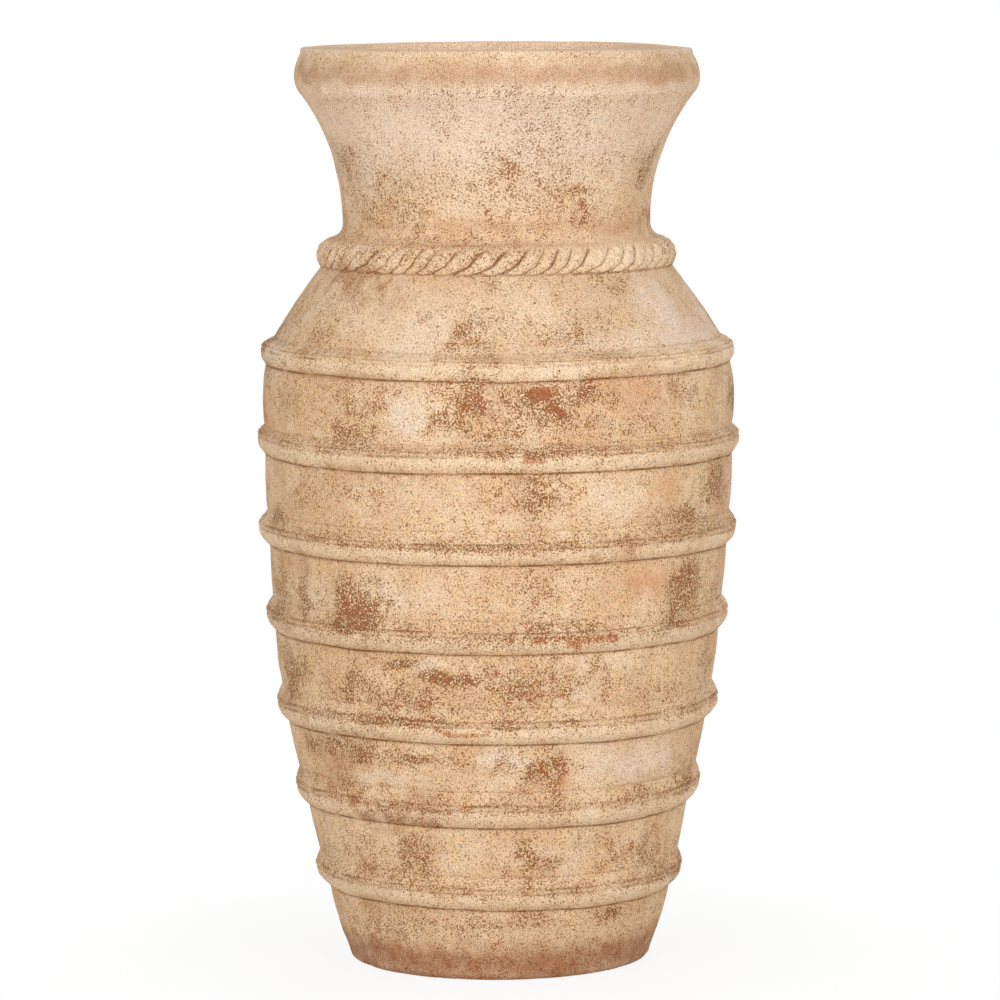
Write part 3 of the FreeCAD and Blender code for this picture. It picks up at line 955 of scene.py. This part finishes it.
def mark_blotches(mesh, turn, height):
    """Every kind of blotch: its full strength in the middle, falling off at its edge."""
    degrees, millimetres = np.degrees(turn), height / MM
    sideways = wander * (edge_wander(turn, height) + fine_share * fine_wander(turn, height))
    upwards = wander * height_wander(turn, height)
    low, high = millimetres.min() - blotch_reach, millimetres.max() + blotch_reach
    for kind, spots in blotches.items():
        strength = np.zeros(len(turn))
        for spot_turn, spot_height, half_width, half_height, full in spots:
            if not low < spot_height < high:
                continue
            aside = ((degrees - spot_turn + 180) % 360 - 180) / half_width
            above = (millimetres - spot_height) / half_height
            unsteady = min(1, widest_ragged / half_width)
            away = (aside + sideways * unsteady) ** 2 + (above + upwards * unsteady) ** 2
            strength = np.maximum(strength, full * np.exp(-fall_off * away**fall_off_power))
        store(mesh, kind, strength)


# %% Soil from the ground, and every piece marked
# Soil stains the foot below a line that wanders a little on its way round.
soil_line = 38.0 * MM
soil_wander = 1.2 * MM
soil_fade = 14.0 * MM


def mark_soil(mesh, turn, height):
    """How soiled each point is: 1 below the line, fading out above it."""
    line = soil_line + soil_wander * edge_wander(turn, 0.0)
    store(mesh, "soiled", np.interp(height - line, [-soil_fade, soil_fade], [1, 0]))


for piece in pieces.values():
    turn, height = turn_and_height(piece.data)
    mark_blotches(piece.data, turn, height)
    mark_soil(piece.data, turn, height)
print("blotches and soil marked on", len(pieces), "pieces")

# %% [markdown]
# ## Colours and nodes
#
# Colours are written as sRGB hex, as a paint chart gives them, and Blender's shaders want
# linear light, so one function turns the first into the second. A second small function adds
# any node, sets its options and links its sockets, which keeps a long material readable.

# %% Two helpers for materials
def linear(hex_colour):
    """sRGB hex to the linear RGBA that a shader socket takes."""
    channels = [int(hex_colour[place : place + 2], 16) / 255 for place in (1, 3, 5)]
    bright = [c / 12.92 if c <= 0.04045 else ((c + 0.055) / 1.055) ** 2.4 for c in channels]
    return (*bright, 1.0)


def add(tree, kind, sockets=None, **options):
    """Adds a node. A socket takes a number or colour, or another node's output to link."""
    node = tree.nodes.new(kind)
    for option, value in options.items():
        setattr(node, option, value)
    for socket, value in (sockets or {}).items():
        if isinstance(value, bpy.types.NodeSocket):
            tree.links.new(value, node.inputs[socket])
        else:
            node.inputs[socket].default_value = value
    return node


print("#E3C3A0 in linear light:", [round(channel, 3) for channel in linear("#E3C3A0")])

# %% [markdown]
# ## Lime wash on earthenware
#
# The real surface is coarse fired earthenware, brown and open, under a brushed coat of lime
# and pale clay. To the eye it is chalky: no shine, soft cloudy changes of cream, peach and
# pinkish grey, and grains of 1 to 2 mm that stay pale where the wash held and go dark brown
# where it fell out. Its pattern has five sizes, each worked out from the real one: clouds of
# 60 mm, patches of 25 mm, mottles of 9 mm, grains of 1.65 mm and sand of 1 mm. The sand is
# drawn about twice as coarse as it is, so that it shows at all in a picture with one pixel to
# the millimetre.
#
# The grain noise is compared with a level that falls where the wash is worn. Far from a blotch
# only its rare peaks pass and make single specks. Inside one, most of it passes, and the
# specks run together.

# %% Patterns and stored marks
# Each pattern's size, and how many finer layers its noise has.
noise_roughness = 0.6
patterns = {
    "cloud": (60 * MM, 2.0), "patch": (25 * MM, 3.0), "mottle": (9 * MM, 4.0),
    "grain": (1.65 * MM, 2.0), "sand": (1.0 * MM, 1.0),
}
# What is stored beside the points of the meshes. A mark that a piece lacks reads as 0.
stored_marks = [
    "speckled", "bare", "rubbed", "sound_wash_and_painted_light", "smeared", "soiled", "crest", "painted_shade_and_dirt", "dusty",
    "washed",
]
print(len(patterns), "patterns and", len(stored_marks), "stored marks")

# %% Levels and masks
# A level is a sum of patterns and marks, each times its share. "worn" says how worn the wash
# is: noise of two sizes, moved up and down by the marks. Each level may use those above it.
levels = {
    "worn": {
        "mottle": 1.3, "patch": 0.8, "speckled": 1.0, "painted_shade_and_dirt": 0.3, "dusty": 0.28,
        "sound_wash_and_painted_light": -0.3, "crest": -0.1, "bare": 0.1, "rubbed": -0.5, "smeared": -0.2,
    },
    "speck_level": {"grain": 1.0, "worn": 0.18},
    "dust_level": {"sand": 1.0, "worn": 0.06},
    "bare_level": {"bare": 1.0, "mottle": 1.0, "grain": 1.5},
    "smear_level": {"smeared": 1.0, "patch": 0.9},
    "soil_level": {"soiled": 1.0, "patch": 0.6, "mottle": 0.6},
}
# A mask rises smoothly from 0 to 1 as a pattern, mark or level goes from its first number to
# its second.
masks = {
    "drifts": ("cloud", 0.40, 0.60), "yellowed": ("patch", 0.42, 0.62),
    "reddened": ("patch", 0.50, 0.62), "paled": ("patch", 0.42, 0.32),
    "stained": ("patch", 0.45, 0.62), "touched": ("patch", 0.25, 0.55),
    "rusted": ("mottle", 0.42, 0.60), "pale_grains": ("grain", 0.49, 0.38),
    "thin_wash": ("worn", 1.30, 2.05), "specks": ("speck_level", 0.775, 0.825),
    "dust": ("dust_level", 0.64, 0.74), "bare_clay": ("bare_level", 1.55, 2.05),
    "smears": ("smear_level", 0.50, 1.6), "soil": ("soil_level", 0.85, 1.85),
    "unwashed": ("washed", 0.6, 0.1), "never_washed": ("washed", 0.2, 0.0),
}
print(len(levels), "levels and", len(masks), "masks")

# %% Coats of colour
# From the wash up to the dirt and painted shade on it: a colour, the masks or marks inside which
# it lies, and how much it covers there.
coats = [
    # Pale lies over sound wash and over a few places of painted light, and on the crests it is in part a
    # painted highlight.
    ("drift", ["drifts"], 0.9), ("yellow", ["yellowed"], 0.5), ("pale", ["sound_wash_and_painted_light"], 0.75),
    ("pale", ["crest"], 0.4), ("rubbed", ["rubbed", "touched"], 0.85),
    ("underlay", ["thin_wash"], 0.65), ("smear", ["smears"], 0.7),
    ("grain", ["pale_grains", "thin_wash"], 0.85), ("bare", ["bare_clay"], 0.75),
    ("soil", ["soil"], 0.95), ("rust", ["soil", "reddened"], 0.4),
    # The dark coat is painted shade and dirt in corners, creases and grooves; the same colour serves for
    # dust.
    ("pale", ["soil", "paled"], 0.45), ("painted_shade_and_dirt", ["painted_shade_and_dirt"], 0.85), ("painted_shade_and_dirt", ["dust"], 0.42),
    ("speck", ["specks"], 0.85), ("rust", ["specks", "rusted"], 0.5),
    ("rust", ["specks", "bare_clay"], 0.45), ("clay", ["unwashed"], 0.82),
    ("soil", ["never_washed", "stained"], 0.3),
]
print(len(coats), "coats over the wash")

# %% Lime-washed earthenware
# Fired clay has an IOR near 1.5, but its open pores swallow most of the shine, so the specular
# level is half the usual one. A place where a grain fell out is a little less rough than the
# chalky wash. The pits that they leave are too fine for the mesh, and so are raised sand grains.
earthenware_ior = 1.5
pore_shine = 0.25
wash_roughness = 0.92
speck_roughness = 0.80
sand_dark = 0.54
sand_light = 1.46
pit_depth = 0.3 * MM
pit_strength = 0.8


def lime_washed(name, colours, wear):
    """Earthenware under a worn wash. colours are sRGB hex, wear raises or lowers the worn share."""
    material = bpy.data.materials.new(name)
    material.use_nodes = True
    tree = material.node_tree
    tree.nodes.clear()
    place = add(tree, "ShaderNodeTexCoord").outputs["Object"]
    value = {}
    for pattern, (size, detail) in patterns.items():
        sockets = {"Vector": place, "Scale": 1 / size, "Detail": detail}
        sockets["Roughness"] = noise_roughness
        value[pattern] = add(tree, "ShaderNodeTexNoise", sockets).outputs["Fac"]
    for mark in stored_marks:
        value[mark] = add(tree, "ShaderNodeAttribute", attribute_name=mark).outputs["Fac"]
    for level, shares in levels.items():
        total = wear if level == "worn" else 0.0
        for source, share in shares.items():
            sockets = {0: value[source], 1: share, 2: total}
            total = add(tree, "ShaderNodeMath", sockets, operation="MULTIPLY_ADD").outputs[0]
        value[level] = total
    for mask, (source, start, end) in masks.items():
        value[mask] = add(
            tree, "ShaderNodeMapRange",
            {"Value": value[source], "From Min": start, "From Max": end},
            interpolation_type="SMOOTHSTEP",
        ).outputs[0]

    # On a Mix node for colours, sockets 6 and 7 are the two colours and output 2 is their mix.
    coat = linear(colours["wash"])
    for colour, names, cover in coats:
        share = value[names[0]]
        for factor in [value[name] for name in names[1:]] + [cover]:
            share = add(
                tree, "ShaderNodeMath", {0: share, 1: factor}, operation="MULTIPLY", use_clamp=True,
            ).outputs[0]
        sockets = {0: share, 6: coat, 7: linear(colours[colour])}
        coat = add(tree, "ShaderNodeMix", sockets, data_type="RGBA").outputs[2]

    # Grains of sand are lighter and darker than the coat that they are in.
    sand_shade = add(
        tree, "ShaderNodeMapRange",
        {
            "Value": value["sand"], "From Min": 0.25, "From Max": 0.75,
            "To Min": sand_dark, "To Max": sand_light,
        },
        interpolation_type="SMOOTHSTEP",
    ).outputs[0]
    sanded = add(
        tree, "ShaderNodeMix", {0: 1.0, 6: coat, 7: sand_shade},
        data_type="RGBA", blend_type="MULTIPLY",
    ).outputs[2]
    sockets = {0: value["sand"], 1: value["specks"]}
    pits = add(tree, "ShaderNodeMath", sockets, operation="SUBTRACT").outputs[0]
    relief = add(
        tree, "ShaderNodeBump", {"Strength": pit_strength, "Distance": pit_depth, "Height": pits}
    ).outputs[0]
    roughness = add(
        tree, "ShaderNodeMapRange",
        {"Value": value["specks"], "To Min": wash_roughness, "To Max": speck_roughness},
        interpolation_type="SMOOTHSTEP",
    ).outputs[0]
    shader = add(
        tree, "ShaderNodeBsdfPrincipled",
        {
            "Base Color": sanded, "Roughness": roughness, "Normal": relief,
            "IOR": earthenware_ior, "Specular IOR Level": pore_shine,
        },
    )
    add(tree, "ShaderNodeOutputMaterial", {"Surface": shader.outputs[0]})
    return material


# 835631 is the colour of painted shade and dirt in corners, creases and grooves, and of dust.
wall_colours = {
    "wash": "#E3C3A0", "drift": "#D6B08A", "yellow": "#E1BB89", "pale": "#E5CFBB",
    "rubbed": "#D19A72", "underlay": "#C69660", "smear": "#BF926B", "grain": "#F8E2B8",
    "bare": "#BA764A", "soil": "#A27452", "painted_shade_and_dirt": "#835631", "speck": "#724722",
    "rust": "#A8623C", "clay": "#E4BA90",
}

finishes = {"washed_terracotta": lime_washed("lime_washed_earthenware", wall_colours, 0.0)}
print("nodes in the wash:", len(finishes["washed_terracotta"].node_tree.nodes))

# %% [markdown]
# ## The same clay in other places
#
# The strips and cordon stand proud, so rain and hands keep them paler, and the pale on their
# crests is in part a painted highlight. The rim was handled and is browner where it was touched;
# its clay is painted lighter, as painted light inside the mouth. The foot stood on wet ground, which
# took much of the wash and left brown and red stains. The coil inside never had a wash. Each is the
# same material with other colours, because on the jar it is the same clay.

# %% Strips, rim, foot and inside
# The strips' pale lies mostly on their crests, where it is in part a painted highlight.
band_colours = wall_colours | {"wash": "#E4C4A1", "drift": "#D8B48F", "pale": "#EDD4B7"}
# On the rim, clay is lighter than the wash as painted light inside the mouth, and pale paints the lip's
# highlight.
rim_colours = wall_colours | {"smear": "#B58A69", "clay": "#F0CCA6", "pale": "#E9D5C2"}
foot_colours = wall_colours | {
    "wash": "#E0BF9B", "drift": "#CFAB86", "soil": "#AC8062", "bare": "#BE7C50", "pale": "#E2C6A9",
    "rubbed": "#C98B5C",
}
inside_colours = wall_colours | {"wash": "#D9A87D", "drift": "#CB976C", "clay": "#D2A076"}
finishes["worn_bands"] = lime_washed("worn_clay_strips", band_colours, 0.05)
finishes["rim_terracotta"] = lime_washed("handled_rim_clay", rim_colours, 0.0)
finishes["bare_foot"] = lime_washed("ground_stained_clay", foot_colours, 0.1)
finishes["inside_clay"] = lime_washed("unwashed_inside_clay", inside_colours, -0.3)

for subpart in frame["record"]["subparts"]:
    piece, slot = pieces[subpart["node"]], subpart["material_slot"]
    piece.data.materials.append(finishes[slot])
print({slot: material.name for slot, material in finishes.items()})

# %% [markdown]
# ## Floor and light
#
# The jar stands in a white studio. Two wide lamps light it from the front, one on each side
# and a little above it, a third one stands behind it, and a glow comes from all round. The
# lamps are at the level where a colour renders about as it is written. The white floor runs
# out into white: near the jar a part of what is seen of it is a lit surface, which holds a
# faint soft shadow, and further out it fades into the white of the world.

# %% What a viewer sees directly
def seen_directly(tree):
    """1 for rays that a viewer sees by: straight from the camera, or through shine or glass."""
    path = add(tree, "ShaderNodeLightPath")
    share = path.outputs["Is Camera Ray"]
    for kind in ("Is Glossy Ray", "Is Transmission Ray"):
        share = add(
            tree, "ShaderNodeMath", {0: share, 1: path.outputs[kind]}, operation="MAXIMUM"
        ).outputs[0]
    return share


# %% The floor's mesh
# The floor lies a hair under the jar, because two faces in one place would flicker. It is open
# under the jar, a little inside the foot, so that the underside catches light.
floor_radius = 6.0
floor_gap = 0.2 * MM
floor_steps = 96

floor_points = []
for radius in (slab_top_radius - 2 * foot_edge_round, floor_radius):
    for angle in np.linspace(0, 2 * math.pi, floor_steps, endpoint=False):
        floor_points.append((radius * math.cos(angle), radius * math.sin(angle), -floor_gap))
floor_faces = []
for step in range(floor_steps):
    following = (step + 1) % floor_steps
    floor_faces.append((step, step + floor_steps, following + floor_steps, following))
floor_mesh = bpy.data.meshes.new("studio_floor")
floor_mesh.from_pydata(floor_points, [], floor_faces)
floor = bpy.data.objects.new("studio_floor", floor_mesh)
bpy.context.scene.collection.objects.link(floor)
print(f"a floor of {len(floor_faces)} faces, {2 * floor_radius:.0f} m across")

# %% White floor that keeps the shadow
# It is clear from below, so that the underside shows when someone looks up at it.
fade_start = 0.16
fade_end = 0.6
near_glow = 0.88
floor_white = linear("#F6F4F1")
paper_white = (1.0, 1.0, 1.0, 1.0)

floor_material = bpy.data.materials.new("matt_white_floor")
floor_material.use_nodes = True
tree = floor_material.node_tree
tree.nodes.clear()
place = add(tree, "ShaderNodeTexCoord").outputs["Object"]
distance = add(tree, "ShaderNodeVectorMath", {0: place}, operation="LENGTH").outputs["Value"]
far = add(
    tree, "ShaderNodeMapRange", {"Value": distance, "From Min": fade_start, "From Max": fade_end},
    interpolation_type="SMOOTHSTEP",
).outputs[0]
whiteness = add(
    tree, "ShaderNodeMapRange", {"Value": far, "To Min": near_glow, "To Max": 1.0}
).outputs[0]
share = add(
    tree, "ShaderNodeMath", {0: whiteness, 1: seen_directly(tree)}, operation="MULTIPLY"
).outputs[0]
matt = add(tree, "ShaderNodeBsdfDiffuse", {"Color": floor_white}).outputs[0]
glow = add(tree, "ShaderNodeEmission", {"Color": paper_white, "Strength": 1.0}).outputs[0]
mixed = add(tree, "ShaderNodeMixShader", {0: share, 1: matt, 2: glow}).outputs[0]
from_below = add(tree, "ShaderNodeNewGeometry").outputs["Backfacing"]
clear = add(tree, "ShaderNodeBsdfTransparent").outputs[0]
mixed = add(tree, "ShaderNodeMixShader", {0: from_below, 1: mixed, 2: clear}).outputs[0]
add(tree, "ShaderNodeOutputMaterial", {"Surface": mixed})
floor.data.materials.append(floor_material)
print("nodes in the floor:", len(tree.nodes))

# %% White world and three soft lamps
around_strength = 0.62
lamp_width = 1.8
# Where each lamp stands, in metres, and how strong it is, in watts.
lamps = {
    "right_softbox": ((1.4, -2.9, 1.8), 35.5),
    "left_softbox": ((-1.3, -3.0, 1.5), 32.3),
    "back_softbox": ((0.6, 3.2, 1.7), 22),
}

world = bpy.data.worlds.new("white_studio")
bpy.context.scene.world = world
world.use_nodes = True
tree = world.node_tree
tree.nodes.clear()
strength = add(
    tree, "ShaderNodeMapRange",
    {"Value": seen_directly(tree), "To Min": around_strength, "To Max": 1.0},
).outputs[0]
sky = add(tree, "ShaderNodeBackground", {"Color": paper_white, "Strength": strength}).outputs[0]
add(tree, "ShaderNodeOutputWorld", {"Surface": sky})

for name, (place, power) in lamps.items():
    lamp_data = bpy.data.lights.new(name, "AREA")
    lamp_data.shape = "DISK"
    lamp_data.size = lamp_width
    lamp_data.energy = power
    lamp = bpy.data.objects.new(name, lamp_data)
    lamp.location = place
    aim = Vector((0, 0, jar_height / 2)) - Vector(place)
    lamp.rotation_euler = aim.to_track_quat("-Z", "Y").to_euler()
    bpy.context.scene.collection.objects.link(lamp)
    print(f"{name}: {lamp_width} m wide, {power} W")

# %% [markdown]
# ## Colour management
#
# The Standard view shows a colour as it is written, which is what a catalogue picture needs.

# %% Standard view, and the end
bpy.context.scene.view_settings.view_transform = "Standard"
